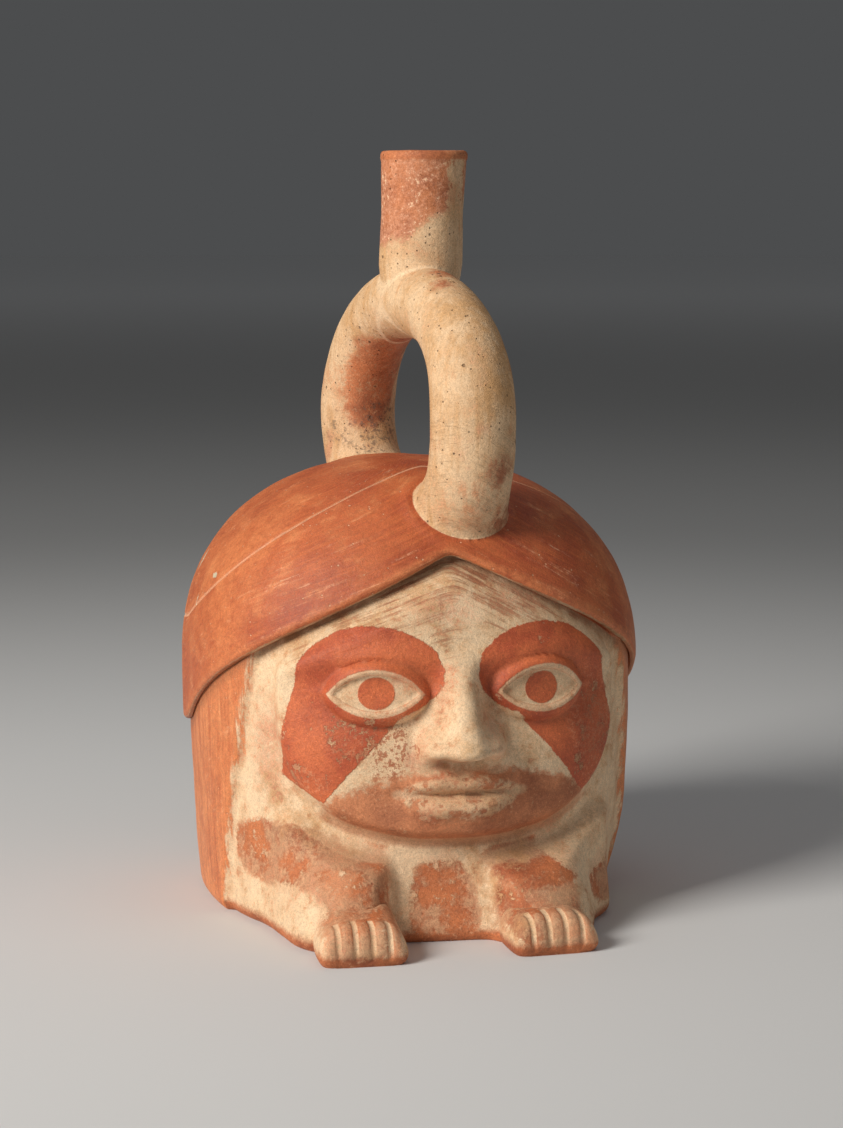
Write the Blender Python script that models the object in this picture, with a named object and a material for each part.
"""Stirrup spout vessel: a hollow earthenware jar moulded as a crouching, hooded figure, in one piece.

Metres, +Z up. The figure faces -Y. The origin lies on the flat underside, below the middle of the head.
"""

from math import cos, pi, radians, sin

import bmesh
import bpy
import numpy as np
from mathutils import Vector

# The head and body, an egg-shaped form without its clothes
HEAD_HALF_WIDTH = 0.0608
HEAD_FRONT = 0.0600
HEAD_BACK = 0.0605
WIDEST_LEVEL = 0.0700
CROWN_RISE = 0.0525
SKIRT_DEPTH = 0.1950
SIDE_CURVE = 2.2
PLAN_CURVE = 2.35
WALL = 0.0050
FLOOR_WALL = 0.0060

# The foot of the vessel, which flares forward between the sitter's feet
BASE_FLARE = 0.0100
BASE_FLARE_HEIGHT = 0.0130
BASE_ROUNDING = 0.0030
BASE_SKIRT = 0.0040
SLACK_SIDE_TUCK = 0.0050
SLACK_SIDE_HEIGHT = 0.0300

# The mantle that falls from the cap at both sides, and the cap over it
MANTLE_THICKNESS = 0.0022
MANTLE_EDGE_TOP = radians(53.0)
MANTLE_EDGE_BASE = radians(71.0)
MANTLE_EDGE_SOFTNESS = 0.0022
MANTLE_MEETS_CAP = 0.0790
CAP_THICKNESS = 0.0020
CAP_PEAK_RISE = 0.0028
CAP_FALL = 0.0265
CAP_DROOP = 0.0040
CAP_BACK_LEVEL = 0.0430
CAP_LIP = 0.0016
CAP_TUCK = 0.0010

# The face, set out in thirds of its height and fifths of its width
CHIN_LEVEL = 0.0245
HAIR_LEVEL = 0.1010
FACE_HALF_WIDTH = 0.0530
FACE_CURVE = 2.5
FACE_SWELL = 0.0042
FACE_EDGE = 0.0060
NOSE_PROJECTION = 0.0125
SINK = 0.0015
BACKING = 0.0035

# The drawn-up legs under the chin, and the feet in front of them
LEG_SHIFT = -0.0048
LEG_INNER = 0.0115
LEG_OUTER = 0.0600
LEG_LEAN = 0.0030
LEG_TOP = 0.0345
LEG_SWELL = 0.0046
LEG_EDGE = 0.0050
CHIN_GROOVE = 0.0026
FOOT_SPREAD = 0.0248
FOOT_SPLAY = radians(3.0)
FOOT_HALF_WIDTH = 0.0123
FOOT_REACH = 0.0265
FOOT_LENGTH = 0.0330
FOOT_TOE_HEIGHT = 0.0108
FOOT_INSTEP_HEIGHT = 0.0215
FOOT_TIP = 0.0070
TOE_COUNT = 5
TOE_GROOVE_DEPTH = 0.0014
TOE_GROOVE_HALF_WIDTH = 0.0011

# The stirrup, an upright loop of tube over the head, and the spout on top of it
STIRRUP_SPAN = 0.0820
STIRRUP_LIFT = 0.0113
STIRRUP_RISE = 0.0335
STIRRUP_FRONT_CURVE = 2.3
STIRRUP_BACK_CURVE = 2.0
STIRRUP_SKEW = radians(10.5)
STIRRUP_LEAN = 0.0015
STIRRUP_Y = -0.0070
STIRRUP_END = radians(50.0)
TUBE_RADIUS = 0.0118
TUBE_BACK_RADIUS = 0.0111
TUBE_CROWN_RADIUS = 0.0103
TUBE_FLARE = 0.0016
TUBE_WALL = 0.0036
SPOUT_LENGTH = 0.0425
SPOUT_RADIUS = 0.0117
RIM_RADIUS = 0.0123
LIP_THICKNESS = 0.0028
LIP_ROUNDING = 0.0010
SPOUT_LEAN = (0.0015, 0.0010)
SPOUT_X = 0.0020

# How finely each form is faceted
COLUMNS = 60
FRONT_COLUMNS = 9
SIDE_ROWS = 10
CAP_ROWS = 9
TUBE_SIDES = 16
TUBE_STEPS = 24
BORE_SIDES = 12
SPOUT_SIDES = 20
FOOT_SIDES = 18
FOOT_STEPS = 4
TIP_STEPS = 4
CHAMBER_COLUMNS = 32
CHAMBER_ROWS = 16

CLAY_COLOUR = (0.52, 0.20, 0.09, 1.0)
CLAY_ROUGHNESS = 0.62
SHARP_ANGLE = radians(50.0)

CAP_SWELL = MANTLE_THICKNESS + CAP_THICKNESS
CAP_PEAK_LEVEL = HAIR_LEVEL + CAP_PEAK_RISE
FACE_HEIGHT = HAIR_LEVEL - CHIN_LEVEL
FACE_MIDDLE = CHIN_LEVEL + 0.55 * FACE_HEIGHT
THIRD = FACE_HEIGHT / 3
FIFTH = 2 * FACE_HALF_WIDTH / 5
BROW_LEVEL = CHIN_LEVEL + 2 * THIRD
NOSE_LEVEL = CHIN_LEVEL + THIRD
EYE_LEVEL = BROW_LEVEL - 0.28 * THIRD
MOUTH_LEVEL = CHIN_LEVEL + 0.64 * THIRD
TOE_REACH = HEAD_FRONT + FOOT_REACH
STIRRUP_LEVEL = WIDEST_LEVEL + CROWN_RISE + CAP_SWELL + STIRRUP_LIFT
SPOUT_FOOT = STIRRUP_LEVEL + STIRRUP_RISE
SPOUT_TOP = SPOUT_FOOT + SPOUT_LENGTH


def ramp(value):
    """A smooth step from 0 to 1 as the value goes from 0 to 1."""
    t = np.clip(value, 0.0, 1.0)
    return t * t * (3 - 2 * t)


def hill(distance, width):
    """A rounded rise, 1 at distance 0 and fading over the width."""
    return np.exp(-((distance / width) ** 2))


def stations(marks, counts):
    """Values that pass through every mark, with a count of even steps between each two."""
    runs = [np.linspace(a, b, n, endpoint=False) for a, b, n in zip(marks, marks[1:], counts)]
    return np.concatenate(runs + [np.array([marks[-1]])])


def plan_radius(theta, swell):
    """Distance from the axis to the head's plan outline, at an angle measured from the front."""
    depth = np.where(np.cos(theta) > 0, HEAD_FRONT, HEAD_BACK) + swell
    across = np.abs(np.sin(theta) / (HEAD_HALF_WIDTH + swell)) ** PLAN_CURVE
    along = np.abs(np.cos(theta) / depth) ** PLAN_CURVE
    return (across + along) ** (-1 / PLAN_CURVE)


def egg_radius(theta, z, swell):
    """Radius of the bare head at a height, thickened outwards by the swell."""
    rise = np.where(z > WIDEST_LEVEL, CROWN_RISE + swell, SKIRT_DEPTH)
    share = np.clip(np.abs(z - WIDEST_LEVEL) / rise, 0.0, 0.9999)
    return plan_radius(theta, swell) * (1 - share**SIDE_CURVE) ** (1 / SIDE_CURVE)


def bare_radius(theta, z):
    """Radius of the bare head with the flare and the rounded edge at its foot."""
    flare = BASE_FLARE * hill(z, BASE_FLARE_HEIGHT) * np.clip(np.cos(theta), 0.0, 1.0) ** 3
    curl = np.clip((BASE_ROUNDING - z) / BASE_ROUNDING, 0.0, 1.35)
    low = np.clip((SLACK_SIDE_HEIGHT - z) / SLACK_SIDE_HEIGHT, 0.0, 1.0) ** 1.5
    tuck = SLACK_SIDE_TUCK * low * hill(theta - radians(80.0), radians(26.0))
    return egg_radius(theta, z, 0.0) + flare - 0.55 * BASE_ROUNDING * curl**2 - tuck


def on_front(x, z, rise):
    """Point at a distance round the head from its middle line, raised from the bare surface."""
    theta = x / HEAD_FRONT
    radius = bare_radius(theta, z) + rise
    return np.stack([radius * np.sin(theta), -radius * np.cos(theta), z], axis=-1)


def cap_edge(theta):
    """Height of the cap's lower edge: a soft peak over the brow, falling away to the back."""
    turn = np.sqrt(np.asarray(theta) ** 2 + radians(2.5) ** 2) - radians(2.5)
    side = np.minimum(turn, pi / 2)
    falling = CAP_PEAK_LEVEL - CAP_FALL * side - CAP_DROOP * side**2
    side_level = CAP_PEAK_LEVEL - CAP_FALL * pi / 2 - CAP_DROOP * (pi / 2) ** 2
    behind = CAP_BACK_LEVEL + (side_level - CAP_BACK_LEVEL) * np.exp(2 * (pi / 2 - np.maximum(turn, pi / 2)))
    return np.where(turn > pi / 2, behind, falling)


def mantle_edge(z):
    """Angle from the front at which the mantle's edge hangs, at a height."""
    share = (MANTLE_MEETS_CAP - np.minimum(z, MANTLE_MEETS_CAP)) / MANTLE_MEETS_CAP
    return MANTLE_EDGE_TOP + (MANTLE_EDGE_BASE - MANTLE_EDGE_TOP) * share


def face_half_width(z):
    """Half the width of the face's outline at a height above its middle."""
    reach = 2.2 * (HAIR_LEVEL - FACE_MIDDLE)
    return FACE_HALF_WIDTH * (1 - np.clip((z - FACE_MIDDLE) / reach, 0.0, 1.0) ** FACE_CURVE) ** (1 / FACE_CURVE)


def jaw_line(x):
    """Height of the face's lower outline at a distance across the face."""
    share = np.clip(np.abs(x) / FACE_HALF_WIDTH, 0.0, 1.0)
    return FACE_MIDDLE - (FACE_MIDDLE - CHIN_LEVEL) * (1 - share**FACE_CURVE) ** (1 / FACE_CURVE)


def face_depth(x, z):
    """Distance inside the face's outline, about in metres, negative outside it."""
    reach = np.where(z < FACE_MIDDLE, FACE_MIDDLE - CHIN_LEVEL, 2.2 * (HAIR_LEVEL - FACE_MIDDLE))
    outline = np.abs(x / FACE_HALF_WIDTH) ** FACE_CURVE + np.abs((z - FACE_MIDDLE) / reach) ** FACE_CURVE
    return (1 - outline ** (1 / FACE_CURVE)) * (FACE_MIDDLE - CHIN_LEVEL)


def eyes(side, z):
    """Brow, socket, lids and eyeball of both eyes; side is the distance from the face's middle line."""
    across = side - FIFTH
    up = z - EYE_LEVEL
    arch = BROW_LEVEL + 0.10 * THIRD * (1 - (across / FIFTH) ** 2)
    brow = 0.0018 * hill(z - arch, 0.0042) * hill(across, 1.1 * FIFTH)
    socket = -0.0034 * hill(across, 0.70 * FIFTH) * hill(up, 0.36 * THIRD)
    height = np.where(up > 0, 0.0060, 0.0050)
    almond = 1 - (across / (0.48 * FIFTH)) ** 2 - (up / height) ** 2
    ball = 0.0040 * np.sqrt(np.clip(almond, 0.0, 1.0))
    lids = 0.0014 * hill(almond, 0.45)
    return brow + socket + ball + lids


def nose(side, z):
    """A straight nose with rounded wings, between the brow and the middle third's foot."""
    tip = NOSE_LEVEL + 0.16 * THIRD
    along = np.clip((z - tip) / (BROW_LEVEL - tip), 0.0, 1.0)
    height = NOSE_PROJECTION * (1 - along) ** 0.9 + 0.0030 * along
    width = 0.0062 - 0.0018 * along
    fade = ramp((z - NOSE_LEVEL + 0.0018) / 0.0050) * ramp((BROW_LEVEL + 0.0060 - z) / 0.0090)
    bridge = height * hill(side, width) * fade
    wing = 0.0046 * hill(side - 0.36 * FIFTH, 0.0036) * hill(z - tip + 0.0006, 0.0040)
    return bridge + wing


def mouth_and_chin(side, z):
    """Closed lips at rest, the soft mound that they sit on, and the chin below."""
    half = 0.80 * FIFTH
    up = z - MOUTH_LEVEL
    reach = ramp((half - side) / (0.5 * half))
    mound = 0.0022 * hill(side, 0.95 * FIFTH) * hill(up, 0.42 * THIRD)
    upper = 0.0019 * hill(up - 0.0026, 0.0021) * reach
    lower = 0.0023 * hill(up + 0.0030, 0.0026) * reach
    parting = -0.0014 * hill(up, 0.0012) * reach
    chin = 0.0026 * hill(side, 0.60 * FIFTH) * hill(z - CHIN_LEVEL - 0.27 * THIRD, 0.26 * THIRD)
    return mound + upper + lower + parting + chin


def face_relief(x, z):
    """Rise of the face over the bare head; it sinks out of sight at its outline and under the cap."""
    side = np.abs(x)
    inside = ramp(face_depth(x, z) / FACE_EDGE)
    under_cap = ramp((cap_edge(x / HEAD_FRONT) + CAP_LIP - z) / (2 * FACE_EDGE))
    cheeks = 0.0015 * hill(side - 1.45 * FIFTH, 0.7 * FIFTH) * hill(z - NOSE_LEVEL - 0.1 * THIRD, 0.5 * THIRD)
    features = eyes(side, z) + nose(side, z) + mouth_and_chin(side, z)
    return (FACE_SWELL + SINK + cheeks + features) * inside * under_cap - SINK


def material():
    """Fired clay with its worn slip, as one plain finish."""
    clay = bpy.data.materials.new("slipped_earthenware")
    clay.use_nodes = True
    shader = clay.node_tree.nodes["Principled BSDF"]
    shader.inputs["Base Color"].default_value = CLAY_COLOUR
    shader.inputs["Roughness"].default_value = CLAY_ROUGHNESS
    shader.inputs["Metallic"].default_value = 0.0
    return clay


def add_object(name, bm, group=None):
    """Turns a bmesh into an object of the scene; the forms and cutters of a group are hidden."""
    bmesh.ops.recalc_face_normals(bm, faces=bm.faces)
    mesh = bpy.data.meshes.new(name)
    bm.to_mesh(mesh)
    bm.free()
    mesh.shade_smooth()
    mesh.set_sharp_from_angle(angle=SHARP_ANGLE)
    obj = bpy.data.objects.new(name, mesh)
    (group or bpy.context.scene.collection).objects.link(obj)
    obj.hide_render = group is not None
    obj.display_type = "WIRE" if group else "TEXTURED"
    return obj


def shaped_sphere(columns, rows, place):
    """A UV sphere whose vertices move to place(column angles, row numbers)."""
    bm = bmesh.new()
    bmesh.ops.create_uvsphere(bm, u_segments=columns, v_segments=rows, radius=1.0)
    points = np.array([v.co for v in bm.verts])
    row = np.rint(np.arccos(np.clip(-points[:, 2], -1.0, 1.0)) / pi * rows).astype(int)
    turn = np.arctan2(points[:, 0], -points[:, 1])
    for vert, co in zip(bm.verts, place(turn, row)):
        vert.co = Vector(co)
    return bm


def add_cell(bm, quad, corner):
    """One cell of a grid: a quad, or two triangles fanned from the vertex at a corner of the grid."""
    if corner is None:
        bm.faces.new(quad)
        return
    turned = quad[corner:] + quad[:corner]
    bm.faces.new(turned[:3])
    bm.faces.new((turned[0], turned[2], turned[3]))


def add_pillow(bm, front, back):
    """A closed solid between two grids of points that meet along their borders."""
    rows, columns = front.shape[:2]
    skin = [[bm.verts.new(co) for co in line] for line in front]
    rear = [list(line) for line in skin]
    for i in range(1, rows - 1):
        for j in range(1, columns - 1):
            rear[i][j] = bm.verts.new(back[i][j])
    corners = {(0, 0): 0, (0, columns - 2): 1, (rows - 2, columns - 2): 2, (rows - 2, 0): 3}
    for i in range(rows - 1):
        for j in range(columns - 1):
            for side in (skin, rear):
                quad = [side[i][j], side[i][j + 1], side[i + 1][j + 1], side[i + 1][j]]
                add_cell(bm, quad, corners.get((i, j)))


def add_loft(bm, rings):
    """A closed solid through rings of points, its ends capped flat."""
    loops = [[bm.verts.new(point) for point in ring] for ring in rings]
    for lower, upper in zip(loops, loops[1:]):
        for k in range(len(lower)):
            following = (k + 1) % len(lower)
            bm.faces.new((lower[k], lower[following], upper[following], upper[k]))
    bm.faces.new(loops[0])
    bm.faces.new(loops[-1])


def column_angle(turn, z):
    """Angle of a column at a height, with two columns kept on the mantle's front edge."""
    column = np.abs(turn) / pi * COLUMNS / 2
    edge = mantle_edge(z)
    half = MANTLE_EDGE_SOFTNESS / HEAD_FRONT / 2
    front = column / FRONT_COLUMNS * (edge - half)
    past = (column - FRONT_COLUMNS - 1) / (COLUMNS / 2 - FRONT_COLUMNS - 1)
    behind = edge + half + past * (pi - edge - half)
    return np.sign(turn) * np.where(column < FRONT_COLUMNS + 0.5, front, behind)


def side_radius(theta, z):
    """Radius of head and mantle below the cap."""
    beyond = (np.abs(theta) - mantle_edge(z)) * HEAD_FRONT
    return bare_radius(theta, z) + MANTLE_THICKNESS * ramp(beyond / MANTLE_EDGE_SOFTNESS + 0.5)


def cap_surface(theta, share):
    """Radius and height on the cap, from its lower edge at share 0 to the crown at share 1."""
    edge = cap_edge(theta) + CAP_LIP
    plan = plan_radius(theta, CAP_SWELL)
    start = np.arctan2(edge - WIDEST_LEVEL, egg_radius(theta, edge, CAP_SWELL))
    lift = start + (pi / 2 - start) * share
    rise = np.where(lift > 0, CROWN_RISE + CAP_SWELL, SKIRT_DEPTH)
    powers = np.abs(np.cos(lift) / plan) ** SIDE_CURVE + np.abs(np.sin(lift) / rise) ** SIDE_CURVE
    distance = powers ** (-1 / SIDE_CURVE)
    return distance * np.cos(lift), WIDEST_LEVEL + distance * np.sin(lift)


def body_points(turn, row):
    """Places head, mantle and cap on the rows of a sphere, from the underside to the crown."""
    curled = np.array([-BASE_SKIRT, -BASE_SKIRT, -0.4 * BASE_ROUNDING, 0.3 * BASE_ROUNDING, BASE_ROUNDING])
    lip = len(curled) + SIDE_ROWS
    share = np.clip((row - len(curled) + 1) / SIDE_ROWS, 0.0, 1.0)
    z = np.full(len(turn), WIDEST_LEVEL)
    for _ in range(4):
        theta = column_angle(turn, np.where(row < lip, z, MANTLE_MEETS_CAP))
        edge = cap_edge(theta)
        z = curled[-1] + (edge + CAP_TUCK - curled[-1]) * share
        z = np.where(row < len(curled), curled[np.minimum(row, len(curled) - 1)], z)
    cap_radius, cap_z = cap_surface(theta, np.clip((row - lip - 1) / CAP_ROWS, 0.0, 1.0))
    radius = np.where(row == lip, cap_radius - 0.6 * CAP_LIP, np.where(row > lip, cap_radius, side_radius(theta, z)))
    z = np.where(row == lip, edge, np.where(row > lip, cap_z, z))
    radius = np.where((row == 0) | (row == lip + 1 + CAP_ROWS), 0.0, radius)
    return np.column_stack([radius * np.sin(theta), -radius * np.cos(theta), z])


def chamber_points(turn, row):
    """Places the hollow inside, one wall in from the head, and out again under the cap and behind the face."""
    lift = -pi / 2 + pi * row / CHAMBER_ROWS
    up = np.where(lift > 0, CROWN_RISE + CAP_SWELL - WALL, WIDEST_LEVEL - FLOOR_WALL)
    curve = np.where(lift > 0, SIDE_CURVE, 2 * SIDE_CURVE)
    flat = np.abs(np.cos(lift)) ** (2 / curve)
    steep = np.sign(lift) * np.abs(np.sin(lift)) ** (2 / curve)
    z = WIDEST_LEVEL + up * steep
    under_cap = CAP_SWELL * ramp((z - cap_edge(turn) - CAP_LIP) / (2 * WALL))
    behind_face = FACE_SWELL * ramp(face_depth(HEAD_FRONT * turn, z) / (2 * FACE_EDGE))
    plan = plan_radius(turn, np.maximum(under_cap, behind_face) - WALL)
    return np.column_stack([plan * flat * np.sin(turn), -plan * flat * np.cos(turn), z])


def add_face(bm):
    """The face as a shallow solid, its grid drawn in to the outline of the jaw."""
    edge = 0.25 * FACE_EDGE
    half = stations(
        [0.0, 0.5 * FIFTH, 1.5 * FIFTH, FACE_HALF_WIDTH - FACE_EDGE, FACE_HALF_WIDTH - edge, FACE_HALF_WIDTH],
        [5, 8, 4, 2, 1],
    )
    u = np.concatenate([-half[:0:-1], half]) / FACE_HALF_WIDTH
    lips = 0.22 * THIRD
    lids = 0.26 * THIRD
    levels = stations(
        [CHIN_LEVEL, CHIN_LEVEL + edge, CHIN_LEVEL + FACE_EDGE, MOUTH_LEVEL - lips, MOUTH_LEVEL, MOUTH_LEVEL + lips,
         NOSE_LEVEL, EYE_LEVEL - lids, EYE_LEVEL, EYE_LEVEL + lids, BROW_LEVEL + 0.2 * THIRD, HAIR_LEVEL],
        [1, 2, 2, 3, 3, 2, 4, 3, 3, 2, 5],
    )
    u, z = np.meshgrid(u, levels)
    v = np.clip((FACE_MIDDLE - z) / (FACE_MIDDLE - CHIN_LEVEL), 0.0, 1.0)
    square = np.maximum(np.abs(u), v)
    round_off = square / np.maximum((np.abs(u) ** FACE_CURVE + v**FACE_CURVE) ** (1 / FACE_CURVE), 1e-9)
    shrink = 1 + (round_off - 1) * square**2
    x = u * np.where(v > 0, shrink * FACE_HALF_WIDTH, face_half_width(z))
    z = np.where(v > 0, FACE_MIDDLE - v * shrink * (FACE_MIDDLE - CHIN_LEVEL), z)
    add_pillow(bm, on_front(x, z, face_relief(x, z)), on_front(x, z, -BACKING))


def add_leg(bm, side):
    """One drawn-up leg under the jaw, as a shallow solid; side is -1 or 1."""
    width = LEG_OUTER - side * LEG_SHIFT - LEG_INNER
    across = stations([0.0, LEG_EDGE, width - LEG_EDGE, width], [3, 6, 3])
    up = stations([0.0, 0.14, 0.84, 1.0], [1, 4, 3])
    across, up = np.meshgrid(across, up)
    x = LEG_SHIFT + side * (LEG_INNER + across - LEG_LEAN * up * across / width)
    jaw = jaw_line(x) - CHIN_GROOVE
    top = LEG_TOP - 0.002 * np.log1p(np.exp((LEG_TOP - jaw) / 0.002))
    base = -2.5 * BASE_SKIRT
    z = base + (top - base) * up
    rounding = ramp(across / LEG_EDGE) * ramp((width - across) / LEG_EDGE)
    rounding *= ramp((top - z) / LEG_EDGE) * ramp((z - base) / BASE_SKIRT)
    rise = (LEG_SWELL + SINK) * rounding - SINK
    add_pillow(bm, on_front(x, z, rise), on_front(x, z, -BACKING))


def foot_section(y, half_width, height):
    """Ring of points round a foot: flat below the ground plane, rounded over the top."""
    turns = (2 * pi * k / FOOT_SIDES for k in range(FOOT_SIDES))
    ring = []
    for turn in turns:
        across = abs(cos(turn)) ** 0.6 * (1 if cos(turn) > 0 else -1)
        up = abs(sin(turn)) ** 0.75 * height if sin(turn) > 0 else -2.2 * BASE_SKIRT * abs(sin(turn)) ** 0.5
        ring.append(Vector((half_width * across, y, up)))
    return ring


def foot_height(share):
    """Height of a foot from instep, at share 0, to the roots of the toes at share 1."""
    return FOOT_INSTEP_HEIGHT + (FOOT_TOE_HEIGHT - FOOT_INSTEP_HEIGHT) * float(ramp(share * 0.8 + 0.2))


def tip_profile(share):
    """Distance forward and height along the rounded tip of the toes, from their tops to the ground."""
    turn = pi / 2 * share
    return sin(turn) ** 0.8 * FOOT_TIP, cos(turn) ** 0.6 * FOOT_TOE_HEIGHT if share < 1 else 0.0


def place_foot(point, side):
    """Turns a point of a foot out by its splay and sets it beside the legs' middle line."""
    turn = side * FOOT_SPLAY
    heel = -TOE_REACH + FOOT_LENGTH
    along = point.y - heel
    x = LEG_SHIFT + side * FOOT_SPREAD + point.x * cos(turn) - along * sin(turn)
    return Vector((x, heel + point.x * sin(turn) + along * cos(turn), point.z))


def add_foot(bm, side):
    """One foot from under the leg to the tips of its toes."""
    ball = -TOE_REACH + FOOT_TIP
    length = FOOT_LENGTH - FOOT_TIP
    rings = []
    for step in range(FOOT_STEPS):
        share = step / FOOT_STEPS
        width = FOOT_HALF_WIDTH * (0.90 + 0.10 * float(ramp(share)))
        rings.append(foot_section(ball + length * (1 - share), width, foot_height(share)))
    for step in range(TIP_STEPS + 1):
        share = 0.86 * step / TIP_STEPS
        forward, height = tip_profile(share)
        rings.append(foot_section(ball - forward, FOOT_HALF_WIDTH * (1 - 0.30 * share**3), height))
    add_loft(bm, [[place_foot(point, side) for point in ring] for ring in rings])


def add_toe_grooves(bm, side):
    """The wedges that part the toes of one foot."""
    ball = -TOE_REACH + FOOT_TIP
    for k in range(1, TOE_COUNT):
        x = FOOT_HALF_WIDTH * 0.94 * (2 * k / TOE_COUNT - 1)
        path = [(ball + FOOT_TIP, FOOT_TOE_HEIGHT + 0.0018), (ball + 0.4 * FOOT_TIP, FOOT_TOE_HEIGHT + 0.0004)]
        for share in (0.3, 0.55, 0.75, 0.9):
            forward, height = tip_profile(share)
            path.append((ball - forward, height))
        path.append((-TOE_REACH - 0.0002, -BASE_SKIRT))
        rings = []
        for y, z in path:
            away = Vector((0.0, y - ball - FOOT_TIP, z + BASE_SKIRT)).normalized()
            surface = Vector((x, y, z))
            outer = surface + away * TOE_GROOVE_DEPTH
            spread = Vector((2 * TOE_GROOVE_HALF_WIDTH, 0.0, 0.0))
            rings.append([surface - away * TOE_GROOVE_DEPTH, outer + spread, outer - spread])
        add_loft(bm, [[place_foot(point, side) for point in ring] for ring in rings])


def circle(centre, outward, sideways, radius, sides):
    """Points of a circle spanned by two unit directions."""
    turns = (2 * pi * k / sides for k in range(sides))
    return [centre + radius * (cos(t) * outward + sin(t) * sideways) for t in turns]


def stirrup_point(turn):
    """Point of the loop's middle line, from 0 at the front leg over 90 degrees at the top to the back leg."""
    forward = Vector((sin(STIRRUP_SKEW), -cos(STIRRUP_SKEW), 0.0))
    curve = STIRRUP_FRONT_CURVE if cos(turn) > 0 else STIRRUP_BACK_CURVE
    ahead = abs(cos(turn)) ** (2 / curve) * (1 if cos(turn) > 0 else -1)
    up = abs(sin(turn)) ** (2 / curve) * (1 if sin(turn) > 0 else -1)
    middle = Vector((0.0, STIRRUP_Y, STIRRUP_LEVEL))
    reach = STIRRUP_SPAN / 2 * ahead + STIRRUP_LEAN * max(up, 0.0)
    return middle + forward * reach + Vector((0.0, 0.0, STIRRUP_RISE * up))


def stirrup_rings(inset, sides, end):
    """Rings along the loop, from the front leg over the top to the back leg; a bore is inset by its wall."""
    sideways = Vector((cos(STIRRUP_SKEW), sin(STIRRUP_SKEW), 0.0))
    rings = []
    for step in range(TUBE_STEPS + 1):
        turn = -end + (pi + 2 * end) * step / TUBE_STEPS
        along = (stirrup_point(turn + 0.02) - stirrup_point(turn - 0.02)).normalized()
        high = float(ramp(sin(turn)))
        low = float(ramp((-sin(turn) - 0.35) / 0.4))
        leg = TUBE_BACK_RADIUS + (TUBE_RADIUS - TUBE_BACK_RADIUS) * float(ramp(0.5 + 0.5 * cos(turn)))
        radius = leg + (TUBE_CROWN_RADIUS - leg) * high + TUBE_FLARE * low - inset
        rings.append(circle(stirrup_point(turn), along.cross(sideways), sideways, radius, sides))
    return rings


def spout_circles(profile, sides):
    """Rings of the slightly leaning spout, from its heights and radii."""
    rings = []
    for z, radius in profile:
        share = (z - SPOUT_FOOT) / SPOUT_LENGTH
        centre = Vector((SPOUT_X + SPOUT_LEAN[0] * share, STIRRUP_Y + SPOUT_LEAN[1] * share, z))
        rings.append(circle(centre, Vector((0.0, -1.0, 0.0)), Vector((1.0, 0.0, 0.0)), radius, sides))
    return rings


def spout_profile():
    """Heights and radii of the spout's outside, from inside the loop to the rounded lip."""
    return [
        (SPOUT_FOOT, TUBE_CROWN_RADIUS),
        (SPOUT_FOOT + TUBE_CROWN_RADIUS, TUBE_RADIUS),
        (SPOUT_TOP - 0.4 * SPOUT_LENGTH, SPOUT_RADIUS),
        (SPOUT_TOP - 4 * LIP_ROUNDING, 0.3 * SPOUT_RADIUS + 0.7 * RIM_RADIUS),
        (SPOUT_TOP - LIP_ROUNDING, RIM_RADIUS),
        (SPOUT_TOP - 0.3 * LIP_ROUNDING, RIM_RADIUS - 0.3 * LIP_ROUNDING),
        (SPOUT_TOP, RIM_RADIUS - LIP_ROUNDING),
    ]


def spout_bore_profile():
    """Heights and radii of the spout's hollow, from the loop's bore out through the mouth."""
    return [
        (SPOUT_FOOT - 0.0005, 0.97 * (TUBE_CROWN_RADIUS - TUBE_WALL)),
        (SPOUT_FOOT + TUBE_CROWN_RADIUS, SPOUT_RADIUS - TUBE_WALL),
        (SPOUT_TOP - 4 * LIP_ROUNDING, RIM_RADIUS - LIP_THICKNESS),
        (SPOUT_TOP + WALL, RIM_RADIUS - LIP_THICKNESS + LIP_ROUNDING),
    ]


def add_lofted(name, rings, group):
    """A form or cutter lofted through rings."""
    bm = bmesh.new()
    add_loft(bm, rings)
    add_object(name, bm, group)


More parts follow.
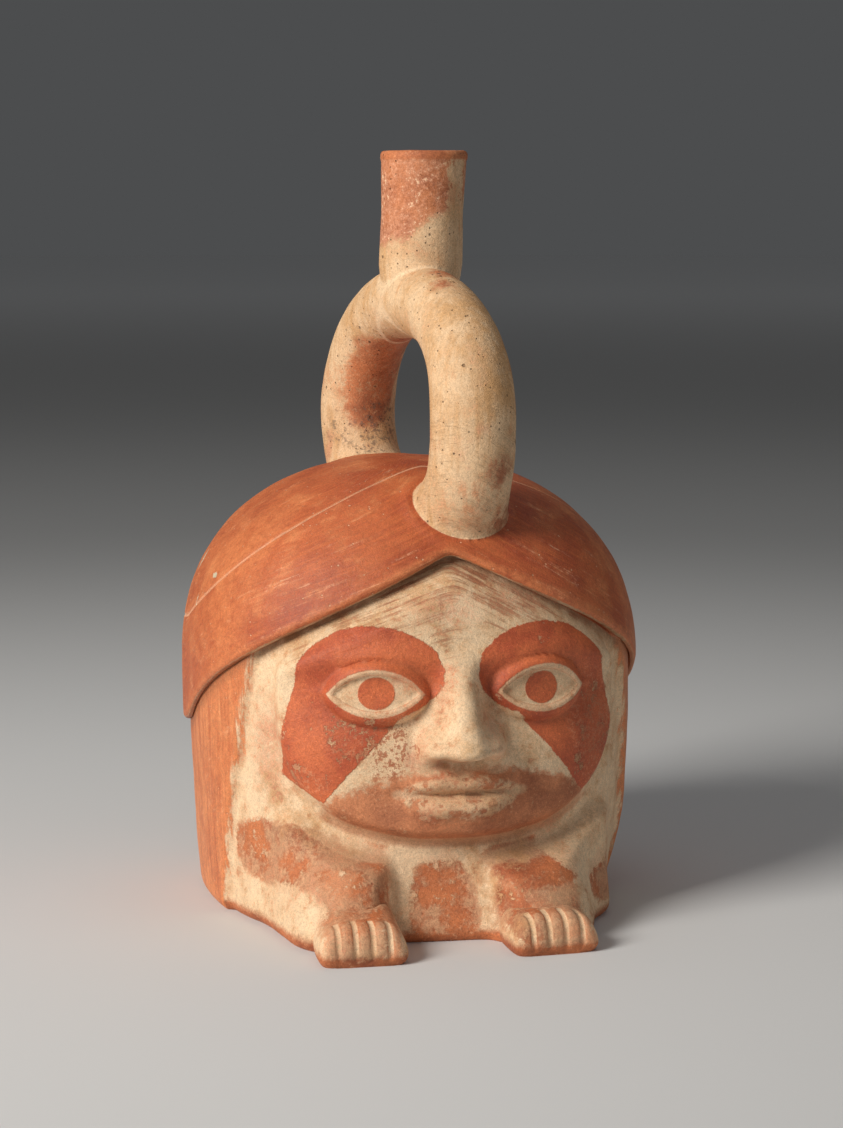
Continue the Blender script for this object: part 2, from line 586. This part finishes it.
def add_pair(name, add_side, group):
    """A form or cutter with one solid for each side of the figure."""
    bm = bmesh.new()
    for side in (-1, 1):
        add_side(bm, side)
    add_object(name, bm, group)


def add_ground(group):
    """A block below the ground plane, which trims the underside flat."""
    bm = bmesh.new()
    reach = 4 * HEAD_HALF_WIDTH
    bmesh.ops.create_cube(bm, size=1.0)
    bmesh.ops.scale(bm, vec=(reach, reach, 10 * BASE_SKIRT), verts=bm.verts)
    bmesh.ops.translate(bm, vec=(0, 0, -5 * BASE_SKIRT), verts=bm.verts)
    add_object("ground", bm, group)


def new_group(name):
    """A collection for the forms or cutters of one Boolean."""
    group = bpy.data.collections.new(name)
    bpy.context.scene.collection.children.link(group)
    return group


def combine(target, group, operation):
    """Adds a Boolean of a whole group to the target."""
    change = target.modifiers.new(group.name, "BOOLEAN")
    change.operation = operation
    change.operand_type = "COLLECTION"
    change.collection = group
    change.solver = "EXACT"


def main():
    """Builds the vessel from its outer forms, then hollows it."""
    for obj in list(bpy.data.objects):
        bpy.data.objects.remove(obj)
    body_rows = 5 + SIDE_ROWS + 1 + CAP_ROWS
    vessel = add_object("vessel", shaped_sphere(COLUMNS, body_rows, body_points))
    vessel.data.materials.append(material())

    forms = new_group("forms")
    add_pair("feet", add_foot, forms)
    add_pair("legs", add_leg, forms)
    face = bmesh.new()
    add_face(face)
    add_object("face", face, forms)
    add_lofted("stirrup", stirrup_rings(0.0, TUBE_SIDES, STIRRUP_END), forms)
    add_lofted("spout", spout_circles(spout_profile(), SPOUT_SIDES), forms)
    combine(vessel, forms, "UNION")

    hollows = new_group("hollows")
    add_object("chamber", shaped_sphere(CHAMBER_COLUMNS, CHAMBER_ROWS, chamber_points), hollows)
    add_lofted("stirrup_bore", stirrup_rings(TUBE_WALL, BORE_SIDES, STIRRUP_END + 0.15), hollows)
    add_lofted("spout_bore", spout_circles(spout_bore_profile(), BORE_SIDES), hollows)
    add_pair("toe_grooves", add_toe_grooves, hollows)
    add_ground(hollows)
    combine(vessel, hollows, "DIFFERENCE")


main()
